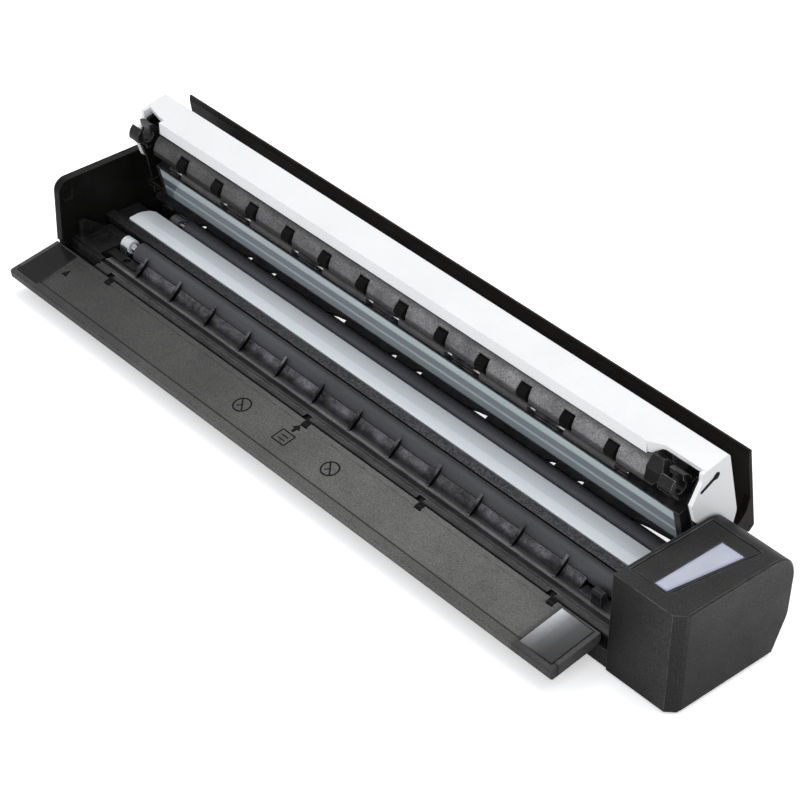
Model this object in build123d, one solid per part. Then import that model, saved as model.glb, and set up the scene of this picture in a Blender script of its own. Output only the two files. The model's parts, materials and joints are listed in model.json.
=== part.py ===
from build123d import *
import math
import os

# Portable document scanner, stored open: front flap down, top cover up, output guide raised.
# Sizes are millimetres. X runs along the scanner, Y from front to back, Z up.
# Sections are written as (y, z) points with y measured from the front face of the body.

# Overall sizes
LENGTH = 273.0
TOP_Z = 34.0
FOOT_HEIGHT = 0.7
FRONT_Y = -19.75          # front face of the body, seen from the middle of the open scanner
X_LEFT = -LENGTH / 2
X_RIGHT = LENGTH / 2
END_WALL = 3.2
X_BED_LEFT = X_LEFT + END_WALL
X_BOX = 112.3             # inner face of the control box
SKIN = 1.6                # usual moulded wall

# Drive line: both rollers lie at one height, and the paper runs over their tops
PAPER_Z = 16.2
ROLLER_R = 3.2
ROLLER_Z = PAPER_Z - ROLLER_R
FEED_Y = 15.2
EJECT_Y = 34.4
SHAFT_R = 1.5
SHAFT_FIT = 0.05
ROLLER_X0 = -111.3
BUSH_X0 = -119.0
BUSH_X1 = -115.2
BUSH_R = 2.3
WALL_BUSH_R = 2.6
BEARING_X0 = -118.4
BEARING_THICK = 2.8

# Top cover: hinge line, and the angle from closed to the open rest pose
COVER_Y = 37.0
COVER_Z = 20.0
COVER_OPEN = 76.0
COVER_X0 = -132.0
COVER_X1 = 111.3
COVER_WALL = 1.4
COVER_LUG_R = 2.4
COVER_END_PLATE = 1.0
PIN_R = 1.25

# Output guide: hinge line and panel
GUIDE_Y = 42.2
GUIDE_Z = 20.1
GUIDE_X0 = -131.5
GUIDE_X1 = 110.6
GUIDE_EYE_R = 1.9
GUIDE_PIN_R = 0.8
PIN_CORE_R = 0.6

# Feeding flap, drooping a little from its hinge line
FLAP_X0 = -136.3
FLAP_X1 = 108.9
FLAP_WIDTH = 18.7
FLAP_THICK = 3.6
FLAP_DROOP = 9.2
FLAP_EDGE_Y = 0.65
FLAP_EDGE_Z = 11.0
FLAP_HINGE_Y = -0.35
FLAP_HINGE_Z = 10.0
FLAP_PIN_R = 0.42
FLAP_BORE_R = 0.5
FLAP_EYE_R = 0.85
FLAP_GAP = 0.3
KNUCKLE_WIDTH = 2.4
FLAP_HINGE_XS = (-108.6, -12.6, 37.0, 90.0)

# Entrance guide ribs
RIB_COUNT = 12
RIB_PITCH = 17.1
RIB_FIRST_X = -104.2
RIB_THICK = 1.0

# Pinch rollers show through windows in the upper guide; idle tubes press before the glass
WINDOW_FIRST_X = -109.1
WINDOW_WIDTH = 4.6
PINCH_R = 2.2
PINCH_WIDTH = 3.6
PINCH_GAP = 0.25
PINCH_SHAFT_R = 0.5
UPPER_X0 = -121.4
UPPER_X1 = 94.0
IDLE_Y = 19.2
IDLE_R = 1.5
IDLE_Z = 17.85
IDLE_LENGTH = 19.6
IDLE_PITCH = 34.2
IDLE_COUNT = 6
IDLE_FIRST_X = -107.4
IDLE_LAST_X = IDLE_FIRST_X + (IDLE_COUNT - 1) * IDLE_PITCH + IDLE_LENGTH
IDLE_SHAFT_R = 0.5

# Gears, all of one module
MODULE = 0.5
GEAR_TEETH = 20
PINION_TEETH = 10
GEAR_X0 = 115.6
GEAR_WIDTH = 2.6
IDLER_Y = (FEED_Y + EJECT_Y) / 2
MOTOR_RISE = 7.5
MOTOR_R = 5.2

# Screws that hold the scan bed down on the bottom case
SCREW_XS = (-97.0, -7.0, 83.0)
SCREW_Y = 24.8
SCREW_R = 1.0
SCREW_TOP = 7.0

# Data socket at the back of the control box
SOCKET_X0 = 123.0
SOCKET_WIDTH = 7.6

# Scan button and its window
BUTTON_GAP = 0.3
PLUNGER_X = 118.6
PLUNGER_Y = 12.0


def at_body(shape):
    """Moves a shape from the body-front datum to the part's own origin."""
    return Pos(0, FRONT_Y, 0) * shape


def save(name, shape):
    moved = at_body(shape)
    moved.label = name
    export_step(moved, f"parts/{name}.step")


def prism(points, x0, x1):
    """Extrudes a (y, z) outline along X."""
    outline = Polyline(*[(x0, y, z) for y, z in points], close=True)
    return extrude(make_face(outline), amount=x1 - x0, dir=(1, 0, 0))


def soft_prism(points, radii, x0, x1):
    """Extrudes a (y, z) outline along X, with one corner radius per point."""
    outline = FilletPolyline(*[(x0, y, z) for y, z in points], radius=radii, close=True)
    return extrude(make_face(outline), amount=x1 - x0, dir=(1, 0, 0))


def plate(points, z0, z1):
    """Extrudes an (x, y) outline up Z."""
    outline = Polyline(*[(x, y, z0) for x, y in points], close=True)
    return extrude(make_face(outline), amount=z1 - z0, dir=(0, 0, 1))


def block(x0, x1, y0, y1, z0, z1):
    return Pos((x0 + x1) / 2, (y0 + y1) / 2, (z0 + z1) / 2) * Box(x1 - x0, y1 - y0, z1 - z0)


def rod(x0, x1, y, z, r):
    return Pos((x0 + x1) / 2, y, z) * Rot(0, 90, 0) * Cylinder(r, x1 - x0)


def sided_rod(x0, x1, y, z, r, sides):
    """Bar along X with flat sides at distance r from its middle."""
    corner = r / math.cos(math.pi / sides)
    angles = [math.pi * (2 * index + 1) / sides for index in range(sides)]
    return prism([(y + corner * math.cos(a), z + corner * math.sin(a)) for a in angles], x0, x1)


def sided_post(x, y, z0, z1, r, sides):
    """Upright bar with flat sides at distance r from its middle."""
    corner = r / math.cos(math.pi / sides)
    angles = [math.pi * (2 * index + 1) / sides for index in range(sides)]
    return plate([(x + corner * math.cos(a), y + corner * math.sin(a)) for a in angles], z0, z1)


def turned(shape, y, z, angle):
    """Turns a shape about the X direction through (y, z)."""
    return shape.rotate(Axis((0, y, z), (1, 0, 0)), angle)


def opened(shape):
    """Takes a piece drawn with the cover closed to its open rest pose."""
    return turned(shape, COVER_Y, COVER_Z, -COVER_OPEN)


def joined(shapes):
    """Fuses a list of touching shapes into one solid."""
    first, *rest = shapes
    return first.fuse(*rest).clean()


def group(shapes):
    """Keeps separate solids together in one piece."""
    return Compound(children=[solid for shape in shapes for solid in shape.solids()])


# End profile of the body: front foot, top, big rear radius, slanting lower back
END_POINTS = [(0.0, FOOT_HEIGHT), (0.0, TOP_Z), (44.6, TOP_Z), (43.6, 12.0), (38.6, FOOT_HEIGHT)]
END_RADII = [0.0, 0.0, 9.0, 9.0, 0.0]
WALL_POINTS = [(0.6, 12.0), (0.6, TOP_Z), (44.6, TOP_Z), (43.6, 12.0), (38.6, FOOT_HEIGHT),
               (1.3, FOOT_HEIGHT), (1.3, 12.0)]
WALL_RADII = [0.0, 4.0, 9.0, 9.0, 0.0, 0.0, 0.0]


def left_end_wall():
    wall = soft_prism(WALL_POINTS, WALL_RADII, X_LEFT, X_BED_LEFT)
    outer = wall.faces().sort_by(Axis.X)[0]
    wall = chamfer(outer.edges(), 0.4)
    recess = block(X_BED_LEFT - 0.6, X_BED_LEFT + 1, 2.4, 5.6, 26.6, 30.4)
    wall = wall - recess - sided_rod(X_BED_LEFT - 1.6, X_BED_LEFT + 1, COVER_Y, COVER_Z, PIN_R, 8)
    return wall - sided_rod(X_BED_LEFT - 1.8, X_BED_LEFT + 1, GUIDE_Y, GUIDE_Z, GUIDE_PIN_R + SHAFT_FIT, 8)


def box_outline(inset):
    """Outline of the control box in (x, y), with its front-right corner cut off."""
    cut = 3.0
    return [(X_BOX + inset, inset), (X_RIGHT - cut, inset), (X_RIGHT - inset, cut),
            (X_RIGHT - inset, 60), (X_BOX + inset, 60)]


def button_outline(grow):
    """Outline of the scan button in (x, y); its right side slants outwards to the back."""
    return [(X_BOX + 1.5 - grow, 5.0 - grow), (126.8 + grow, 5.0 - grow),
            (131.2 + grow, 35.6 + grow), (X_BOX + 1.5 - grow, 35.6 + grow)]


def control_box():
    body = soft_prism(END_POINTS, END_RADII, X_BOX, X_RIGHT)
    body = body & plate(box_outline(0), -5, 60)
    rim = body.faces().sort_by(Axis.X)[-1].edges()
    body = chamfer(rim, 0.6)
    inner = [(SKIN, -1), (SKIN, TOP_Z - SKIN), (43.0, TOP_Z - SKIN), (42.0, 12.4), (36.9, -1)]
    hollow = soft_prism(inner, [0.0, 0.0, 7.6, 7.6, 0.0], X_BOX + SKIN, X_RIGHT - SKIN)
    hollow = hollow & plate(box_outline(SKIN), -5, 60)
    body = body - hollow
    body = body - plate(button_outline(BUTTON_GAP), TOP_Z - SKIN - 1, TOP_Z + 1)
    wall_x0 = X_BOX - 1
    wall_x1 = X_BOX + SKIN + 1
    for y in (FEED_Y, EJECT_Y):
        body = body - sided_rod(wall_x0, wall_x1, y, ROLLER_Z, WALL_BUSH_R, 8)
    body = body - sided_rod(wall_x0, wall_x1, COVER_Y, COVER_Z, PIN_R, 8)
    body = body - sided_rod(wall_x0, wall_x1 - 1, GUIDE_Y, GUIDE_Z, GUIDE_PIN_R + SHAFT_FIT, 8)
    socket = block(SOCKET_X0 - 0.2, SOCKET_X0 + SOCKET_WIDTH + 0.2, 39.0, 46.0, 7.9, 12.3)
    return body - socket


def box_floor():
    floor = plate(box_outline(SKIN), FOOT_HEIGHT, FOOT_HEIGHT + SKIN)
    floor = floor & prism([(0, 0), (0, 5), (38.9, 5), (37.2, 0)], X_BOX, X_RIGHT)
    posts = [sided_post(x, y, FOOT_HEIGHT + 1, 5.4, 1.5, 6) for x in (124.0, 132.0) for y in (8.0, 33.0)]
    return joined([floor] + posts)


def bottom_case():
    outer = [(0.6, FOOT_HEIGHT), (0.6, 6.6), (4.2, 6.6), (4.2, 9.0), (5.8, 9.0), (5.8, 5.0),
             (5.8, FOOT_HEIGHT + SKIN), (36.9, FOOT_HEIGHT + SKIN), (40.6, 9.6), (42.3, 9.6),
             (38.5, FOOT_HEIGHT)]
    case = prism(outer, X_BED_LEFT, X_BOX)
    ribs = []
    for index in range(8):
        x = -112.0 + index * 30.0
        ribs.append(prism([(5.0, 2.0), (5.0, 5.6), (7.4, 5.6), (9.0, 3.6), (34.6, 3.6), (39.0, 8.8),
                           (40.0, 8.8), (37.4, 2.0)], x, x + 1.2))
    case = joined([case] + ribs)
    for x in SCREW_XS:
        case = case - sided_post(x, SCREW_Y, 0, FOOT_HEIGHT + 1.2, 2.1, 16)
        case = case - sided_post(x, SCREW_Y, 0, 4, SCREW_R, 6)
    return case


def knuckle(x):
    """Fixed eye of the flap's hinge, on an arm from the hinge strip."""
    low = FLAP_HINGE_Z - FLAP_EYE_R
    high = FLAP_HINGE_Z + FLAP_EYE_R
    arm = prism([(FLAP_HINGE_Y, low), (FLAP_HINGE_Y, high), (1.8, 10.5), (1.8, low)], x, x + KNUCKLE_WIDTH)
    return [arm, sided_rod(x, x + KNUCKLE_WIDTH, FLAP_HINGE_Y, FLAP_HINGE_Z, FLAP_EYE_R, 12)]


def hinge_strip():
    strip = prism([(1.25, 9.0), (1.25, 10.0), (1.7, 10.5), (3.4, 10.7), (3.6, 10.2), (3.9, 10.2), (4.2, 11.0),
                   (6.2, 11.3), (6.9, 10.9), (8.6, 10.9), (8.6, 8.6), (7.4, 5.6), (5.8, 5.6), (5.8, 9.0)],
                  X_BED_LEFT + 15.5, X_BOX)
    shapes = [strip]
    for x in FLAP_HINGE_XS:
        strip = strip - block(x - KNUCKLE_WIDTH - 0.3, x, 0.0, 3.8, 9.6, 12.0)
        shapes += knuckle(x)
    shapes[0] = strip
    strip = joined(shapes)
    for x in FLAP_HINGE_XS:
        strip = strip - sided_rod(x - 1, x + KNUCKLE_WIDTH + 1, FLAP_HINGE_Y, FLAP_HINGE_Z, FLAP_PIN_R, 6)
    return strip


def flap_hinge_pins():
    return group([sided_rod(x - KNUCKLE_WIDTH, x + KNUCKLE_WIDTH, FLAP_HINGE_Y, FLAP_HINGE_Z, FLAP_PIN_R, 6)
                  for x in FLAP_HINGE_XS])


def entrance_guide():
    floor_plate = prism([(8.6, 8.6), (8.6, 10.9), (9.4, 11.4), (11.7, 13.3), (11.2, 12.0), (10.6, 10.4),
                         (10.6, 3.6), (9.4, 3.6), (9.4, 8.6)], RIB_FIRST_X - 2.2, 92.4)
    ribs = []
    for index in range(RIB_COUNT):
        x = RIB_FIRST_X + index * RIB_PITCH
        ribs.append(prism([(6.95, 10.9), (6.95, 11.3), (12.1, 16.0), (12.1, 15.4), (11.4, 13.4), (10.6, 10.6),
                           (8.6, 10.6), (8.6, 10.9)], x, x + RIB_THICK))
    return joined([floor_plate] + ribs)


def scan_bed():
    bed = prism([(17.7, 15.75), (18.9, 13.6), (18.9, 3.6), (20.1, 3.6), (20.1, 9.0), (29.6, 9.0),
                 (29.6, 3.6), (30.6, 3.6), (30.6, 14.6), (21.5, 14.6), (21.5, 15.0), (21.2, 15.75)],
                X_BED_LEFT, X_BOX)
    bosses = [sided_post(x, SCREW_Y, FOOT_HEIGHT + SKIN, 9.2, 2.2, 6) for x in SCREW_XS]
    bed = joined([bed] + bosses)
    for x in SCREW_XS:
        bed = bed - sided_post(x, SCREW_Y, 0, SCREW_TOP, SCREW_R, 6)
    return bed


def case_screws():
    screws = []
    for x in SCREW_XS:
        head = sided_post(x, SCREW_Y, FOOT_HEIGHT + 0.2, FOOT_HEIGHT + 1.2, 1.9, 16)
        for width, depth in ((2.6, 0.5), (0.5, 2.6)):
            head = head - Pos(x, SCREW_Y, FOOT_HEIGHT + 0.4) * Box(width, depth, 0.8)
        screws.append(head + sided_post(x, SCREW_Y, FOOT_HEIGHT + 1.0, SCREW_TOP, SCREW_R, 6))
    return group(screws)


def reference_plate():
    """White strip under the glass, slightly crowned, with clipped corners at its free end."""
    strip = prism([(21.8, 14.6), (21.8, 15.75), (25.4, 16.1), (30.5, 15.8), (30.5, 14.6)], -126.4, X_BOX)
    outline = [(-126.4, 22.3), (-126.0, 21.8), (X_BOX, 21.8), (X_BOX, 30.5), (-123.6, 30.5), (-125.4, 29.2),
               (-126.2, 26.8)]
    return strip & plate(outline, 14.0, 17.0)


def exit_guide():
    deck = prism([(37.9, 13.4), (37.8, 14.7), (38.6, 15.0), (42.0, 16.4), (43.0, 16.4), (43.0, 15.4),
                  (41.9, 15.2), (39.4, 13.7)], X_BED_LEFT, 107.6)
    slots = [(-110.6, 3.4), (-87.2, 3.4), (-75.6, 3.4), (-46.2, 7.2), (-18.8, 3.4), (-7.6, 3.4),
             (16.8, 7.2), (49.2, 3.4), (60.6, 3.4), (83.2, 14.6)]
    for x, width in slots:
        cut = [(x, 37.0), (x + width, 37.0), (x + width, 39.8), (x + 0.4 * width, 39.2), (x, 38.2)]
        deck = deck - plate(cut, 12.0, 16.0)
    deck = deck - block(X_BED_LEFT - 1, GUIDE_X0 + 2.6, 39.6, 44.0, 12.0, 17.0)
    legs = [prism([(40.6, 9.6), (40.8, 14.6), (42.0, 15.4), (42.2, 9.6)], x, x + 2.0)
            for x in (-128.4, -98.0, -58.0, -30.0, 4.0, 36.0, 72.0, 105.6)]
    return joined([deck] + legs)


def bearing_post(y, front, back):
    """Saddle that holds a roller's left bush, standing on the bottom case."""
    x1 = BEARING_X0 + BEARING_THICK
    top = ROLLER_Z + 0.4
    upright = prism([(front, FOOT_HEIGHT + SKIN), (front, top), (back, top), (back, 5.0),
                     (back - 1.0, FOOT_HEIGHT + SKIN)], BEARING_X0, x1)
    return upright - block(BEARING_X0 - 1, x1 + 1, y - BUSH_R, y + BUSH_R, ROLLER_Z - BUSH_R, top + 1)


def left_side_frame():
    deck = block(X_BED_LEFT, -120.2, 5.8, 17.4, 11.4, 12.6)
    front = block(X_BED_LEFT, -117.8, 4.2, 5.8, 9.0, 12.0)
    legs = [block(x, x + 1.6, 5.8, 17.0, FOOT_HEIGHT + SKIN, 11.6) for x in (X_BED_LEFT, -122.0)]
    fin = prism([(6.2, 12.4), (6.0, 18.6), (7.6, 19.2), (13.0, 15.4), (15.4, 12.4)], -131.4, -130.0)
    step = block(-130.0, -120.6, 14.6, 17.4, 12.4, 13.6)
    shelf = block(-120.4, -106.5, 8.7, 11.8, 9.6, 11.6)
    pocket = plate([(-127.6, 8.6), (-124.2, 8.6), (-122.4, 11.2), (-124.2, 13.8), (-127.6, 13.8)], 11.9, 13)
    dimple = sided_post(-112.1, 10.2, 10.4, 12.0, 1.3, 12)
    return joined([deck, front, fin, step, shelf] + legs) - pocket - dimple


def right_side_frame():
    deck = block(92.6, X_BOX, 8.6, 11.8, 8.6, 10.9)
    stop = prism([(7.4, 10.9), (7.4, 14.6), (8.0, 15.4), (9.4, 15.4), (10.0, 14.6), (10.0, 10.9)],
                 98.2, 101.9)
    foot = block(92.6, X_BOX, 9.4, 10.6, 3.6, 8.8)
    return joined([deck, stop, foot])


def roller_bushes():
    bushes = []
    for y in (FEED_Y, EJECT_Y):
        seated = rod(BUSH_X0, BUSH_X1, y, ROLLER_Z, BUSH_R)
        bushes.append(seated - sided_rod(-120, -112, y, ROLLER_Z, SHAFT_R + SHAFT_FIT, 12))
        flange = sided_rod(X_BOX - 1.2, X_BOX, y, ROLLER_Z, 3.1, 8)
        sleeve = sided_rod(X_BOX, X_BOX + 2.4, y, ROLLER_Z, WALL_BUSH_R, 8)
        bushes.append(joined([flange, sleeve]) - sided_rod(108, 118, y, ROLLER_Z, SHAFT_R + SHAFT_FIT, 12))
    return group(bushes)


def roller_shaft(y):
    return rod(BUSH_X0 - 0.8, GEAR_X0 + GEAR_WIDTH + 0.6, y, ROLLER_Z, SHAFT_R)


def roller_sleeve(y):
    sleeve = rod(ROLLER_X0, 110.4, y, ROLLER_Z, ROLLER_R)
    return sleeve - sided_rod(ROLLER_X0 - 1, 112, y, ROLLER_Z, SHAFT_R, 12)


def spur_gear(teeth, y, z, x0, width, tooth_angle, hole_r):
    """Gear with slim teeth; one tooth is centred on tooth_angle, in degrees."""
    pitch_r = MODULE * teeth / 2
    root_r = pitch_r - 1.2 * MODULE
    tip_r = pitch_r + 0.85 * MODULE
    step = 360.0 / teeth
    points = []
    for index in range(teeth):
        middle = tooth_angle + index * step
        for radius, offset in ((root_r, -0.30), (tip_r, -0.10), (tip_r, 0.10), (root_r, 0.30)):
            angle = math.radians(middle + offset * step)
            points.append((y + radius * math.cos(angle), z + radius * math.sin(angle)))
    gear = prism(points, x0, x0 + width)
    return gear - rod(x0 - 1, x0 + width + 1, y, z, hole_r)


def meshed_angle(own_gap, own_teeth, direction, other_teeth):
    """Tooth angle of the next gear, so that it enters the gap of the one before."""
    step = 360.0 / own_teeth
    offset = (own_gap - direction + step / 2) % step - step / 2
    return direction + 180.0 - offset * own_teeth / other_teeth


PITCH_R = MODULE * GEAR_TEETH / 2
IDLER_Z = ROLLER_Z + math.sqrt((2 * PITCH_R) ** 2 - (IDLER_Y - FEED_Y) ** 2)
MESH_LEAN = math.degrees(math.atan2(IDLER_Z - ROLLER_Z, IDLER_Y - FEED_Y))
IDLER_GAP = MESH_LEAN + 180.0
MOTOR_Z = IDLER_Z + MOTOR_RISE
HALF_STEP = 180.0 / GEAR_TEETH
MOTOR_Y = IDLER_Y


def feed_gear():
    return spur_gear(GEAR_TEETH, FEED_Y, ROLLER_Z, GEAR_X0, GEAR_WIDTH, MESH_LEAN, SHAFT_R)


def idler_gear():
    return spur_gear(GEAR_TEETH, IDLER_Y, IDLER_Z, GEAR_X0, GEAR_WIDTH, IDLER_GAP + HALF_STEP,
                     1.0 + SHAFT_FIT)


def eject_gear():
    tooth = meshed_angle(IDLER_GAP, GEAR_TEETH, -MESH_LEAN, GEAR_TEETH)
    return spur_gear(GEAR_TEETH, EJECT_Y, ROLLER_Z, GEAR_X0, GEAR_WIDTH, tooth, SHAFT_R)


def motor_pinion():
    tooth = meshed_angle(IDLER_GAP, GEAR_TEETH, 90.0, PINION_TEETH)
    pinion = spur_gear(PINION_TEETH, MOTOR_Y, MOTOR_Z, GEAR_X0, GEAR_WIDTH, tooth, 0.7)
    shaft = rod(GEAR_X0 - 0.3, 121.6, MOTOR_Y, MOTOR_Z, 0.7)
    return joined([pinion, shaft])


def idler_axle():
    return joined([rod(X_BOX + SKIN, 120.0, IDLER_Y, IDLER_Z, 1.0),
                   sided_rod(GEAR_X0 + GEAR_WIDTH + 0.3, 120.0, IDLER_Y, IDLER_Z, 1.7, 6)])


def gear_plate():
    profile = [(11.0, 6.0), (11.0, 17.0), (18.4, 21.0), (18.4, 29.0), (31.6, 29.0), (38.0, 17.0), (38.0, 6.0)]
    frame = prism(profile, 120.0, 121.2) - sided_rod(119, 122, MOTOR_Y, MOTOR_Z, 1.6, 8)
    for y in (FEED_Y, EJECT_Y):
        frame = frame - sided_rod(119, 122, y, ROLLER_Z, 2.2, 8)
    lugs = [block(X_BOX + SKIN, 120.0, y, y + 1.8, 25.4, 27.4) for y in (18.8, 29.4)]
    lugs += [block(X_BOX + SKIN, 120.0, y, y + 2.0, 6.0, 7.2) for y in (24.0, 36.0)]
    return joined([frame] + lugs)


def drive_motor():
    """Small motor can with two flats."""
    can = rod(121.2, 133.4, MOTOR_Y, MOTOR_Z, MOTOR_R)
    can = can & block(120, 134, MOTOR_Y - MOTOR_R, MOTOR_Y + MOTOR_R, MOTOR_Z - 4.4, MOTOR_Z + 4.4)
    return can - sided_rod(120, 122.4, MOTOR_Y, MOTOR_Z, 0.9, 8)


def circuit_board():
    board = block(122.2, 134.4, 6.0, 36.6, 5.4, 6.6)
    chip = block(125.0, 131.0, 10.0, 16.0, 6.6, 7.6)
    choke = sided_post(126.0, 21.0, 6.6, 9.2, 2.0, 8)
    header = block(123.4, 126.4, 24.0, 30.0, 6.6, 9.0)
    return joined([board, chip, choke, header])


def usb_socket():
    x0 = SOCKET_X0
    x1 = SOCKET_X0 + SOCKET_WIDTH
    shell = block(x0, x1, 33.4, 41.6, 8.2, 12.0)
    mouth = block(x0 + 0.4, x1 - 0.4, 36.0, 43.0, 8.6, 11.6)
    tongue = block(x0 + 1.6, x1 - 1.6, 35.5, 40.6, 9.8, 10.5)
    foot = block(x0 + 0.6, x1 - 0.6, 33.4, 36.4, 6.6, 8.4)
    return joined([shell - mouth, tongue, foot])


def button_board():
    board = block(114.6, 131.8, 6.4, 17.6, 26.4, 27.4)
    hanger = block(130.2, 131.8, 15.6, 17.6, 27.4, TOP_Z - SKIN)
    switch = block(116.3, 120.9, PLUNGER_Y - 2.3, PLUNGER_Y + 2.3, 27.4, 28.8)
    stem = sided_post(PLUNGER_X, PLUNGER_Y, 28.7, 29.3, 1.1, 8)
    lamp = block(124.0, 126.4, 10.6, 12.6, 27.4, 28.4)
    return joined([board, hanger, switch, stem, lamp])


def button_window_outline(shrink):
    """Tapered window in (x, y), narrow at the front."""
    return [(121.4 + shrink, 5.6 + shrink), (125.9 - shrink, 5.6 + shrink), (129.8 - shrink, 31.0 - shrink),
            (121.6 + shrink, 31.0 - shrink)]


def scan_button():
    cap = plate(button_outline(0), TOP_Z - SKIN, TOP_Z)
    cap = chamfer(cap.faces().sort_by(Axis.Z)[-1].edges(), 0.25)
    flange = plate([(114.3, 4.2), (127.6, 4.2), (132.0, 35.3), (114.3, 35.3)], TOP_Z - SKIN - 1.0,
                   TOP_Z - SKIN - 0.1)
    link = plate(button_outline(-0.4), TOP_Z - SKIN - 0.6, TOP_Z - SKIN + 0.2)
    plunger = sided_post(PLUNGER_X, PLUNGER_Y, 30.2, TOP_Z - SKIN, 1.0, 8)
    return joined([cap, link, flange, plunger]) - plate(button_window_outline(0), TOP_Z - 6, TOP_Z + 1)


def button_window():
    window = plate(button_window_outline(0), TOP_Z - 2.6, TOP_Z + 0.15)
    return chamfer(window.faces().sort_by(Axis.Z)[-1].edges(), 0.4)


def flap_blank():
    """Flap drawn level, its rear top edge on the datum edge."""
    y0 = FLAP_EDGE_Y - FLAP_WIDTH
    z1 = FLAP_EDGE_Z
    points = [(y0, z1 - FLAP_THICK + 0.8), (y0, z1 - 0.5), (y0 + 0.5, z1), (FLAP_EDGE_Y, z1),
              (FLAP_EDGE_Y, z1 - 2.4), (FLAP_EDGE_Y - 2.0, z1 - FLAP_THICK), (y0 + 0.8, z1 - FLAP_THICK)]
    return prism(points, FLAP_X0, FLAP_X1)


def drooped(shape):
    return turned(shape, FLAP_EDGE_Y, FLAP_EDGE_Z, FLAP_DROOP)


PAD_DEPTH = 0.7
LEFT_PAD = [(-135.0, -17.2), (-123.9, -17.2), (-124.4, -0.4), (-135.0, -0.4)]
RIGHT_PAD = [(94.9, -16.6), (107.4, -16.6), (107.4, -0.6), (94.9, -0.6)]


def feeding_flap():
    flap = flap_blank()
    y1 = FLAP_EDGE_Y
    top = FLAP_EDGE_Z
    flap = flap - block(-123.9, 94.0, y1 - FLAP_WIDTH + 3.0, y1 - 1.6, top - 0.3, top + 1)
    for pad in (LEFT_PAD, RIGHT_PAD):
        flap = flap - plate([(x, y1 + y) for x, y in pad], top - PAD_DEPTH, top + 1)
    flap = flap - block(-128.0, 100.0, y1 - FLAP_WIDTH + 2.6, y1 - 4.6, top - FLAP_THICK - 1, top - 1.9)
    flap = drooped(flap)
    reach = FLAP_EYE_R + FLAP_GAP
    for x in FLAP_HINGE_XS:
        flap = flap - block(x - 0.15, x + KNUCKLE_WIDTH + 0.2, FLAP_HINGE_Y - reach, y1 + 1, 8.6, 12.0)
        flap = flap - sided_rod(x - 3.6, x + KNUCKLE_WIDTH, FLAP_HINGE_Y, FLAP_HINGE_Z, FLAP_BORE_R, 12)
    return flap


def flap_pad(outline):
    y1 = FLAP_EDGE_Y
    pad = plate([(x, y1 + y) for x, y in outline], FLAP_EDGE_Z - PAD_DEPTH, FLAP_EDGE_Z + 0.1)
    return drooped(chamfer(pad.faces().sort_by(Axis.Z)[-1].edges(), 0.3))


# Outline of the cover's ends, drawn closed. It stays out of the output guide's hinge.
COVER_END = [(7.6, 23.0), (8.2, 33.2), (30.6, 33.2), (36.3, 30.4), (35.1, 28.9), (33.2, 28.1), (35.9, 22.6)]
COVER_END_FRONT = [(33.4, 21.2), (26.4, 20.6), (22.5, 18.1), (15.9, 17.6), (10.4, 22.4)]


def cover_end(x0):
    return prism(COVER_END + COVER_END_FRONT, x0, x0 + COVER_WALL)


def keyhole(x0, x1):
    """Slot through the right end wall, wider at its rear end."""
    start = (13.6, 21.9)
    end = (12.2, 27.6)
    hole = sided_rod(x0, x1, *end, 1.25, 16) + sided_rod(x0, x1, *start, 0.7, 12)
    side = prism([(start[0] - 0.7, start[1]), (end[0] - 0.8, end[1]), (end[0] + 0.8, end[1]),
                  (start[0] + 0.7, start[1])], x0, x1)
    return hole + side


def top_cover():
    x0 = COVER_X0
    x1 = COVER_X1
    outer = [(7.6, 22.2), (8.2, 33.2), (30.6, 33.2), (36.3, 30.4), (35.1, 28.9), (30.2, 31.6),
             (10.2, 31.6), (9.4, 23.9), (11.8, 22.6), (11.6, 21.4)]
    shell = soft_prism(outer, [0.0, 1.0, 4.0, 0.0, 0.0, 2.4, 0.0, 0.0, 0.0, 0.0], x0, x1)
    shell = shell - lip_cut([(91.5, 20.0), (91.5, 22.1), (96.5, 24.3), (x1 + 1, 24.3), (x1 + 1, 20.0)])
    shell = shell - lip_cut([(x0 - 1, 20.0), (x0 - 1, 26.0), (-124.5, 24.2), (-121.8, 24.0), (-121.8, 20.0)])
    keep = soft_prism([(7.6, 17.0), (8.2, 33.2), (30.6, 33.2), (41.4, 28.0), (41.4, 16.4), (15.0, 16.4)],
                      [0.0, 1.0, 4.0, 0.0, 0.0, 0.0], x0, x1)
    ends = [cover_end(x0) & keep, (cover_end(x1 - COVER_WALL) & keep) - keyhole(105, 115)]
    ribs = [prism([(9.0, 28.0), (9.6, 32.2), (29.6, 32.2), (30.0, 30.6), (12.0, 30.6)], x, x + 1.2)
            for x in (-90.0, -45.0, 0.0, 45.0, 90.0)]
    return joined([shell] + ends + ribs)


def lip_cut(points):
    """Cutter through the cover's front lip, from an (x, z) outline drawn closed."""
    outline = Polyline(*[(x, 5.0, z) for x, z in points], close=True)
    return extrude(make_face(outline), amount=8.0, dir=(0, 1, 0))


def window_x(index):
    return WINDOW_FIRST_X + index * RIB_PITCH


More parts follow.
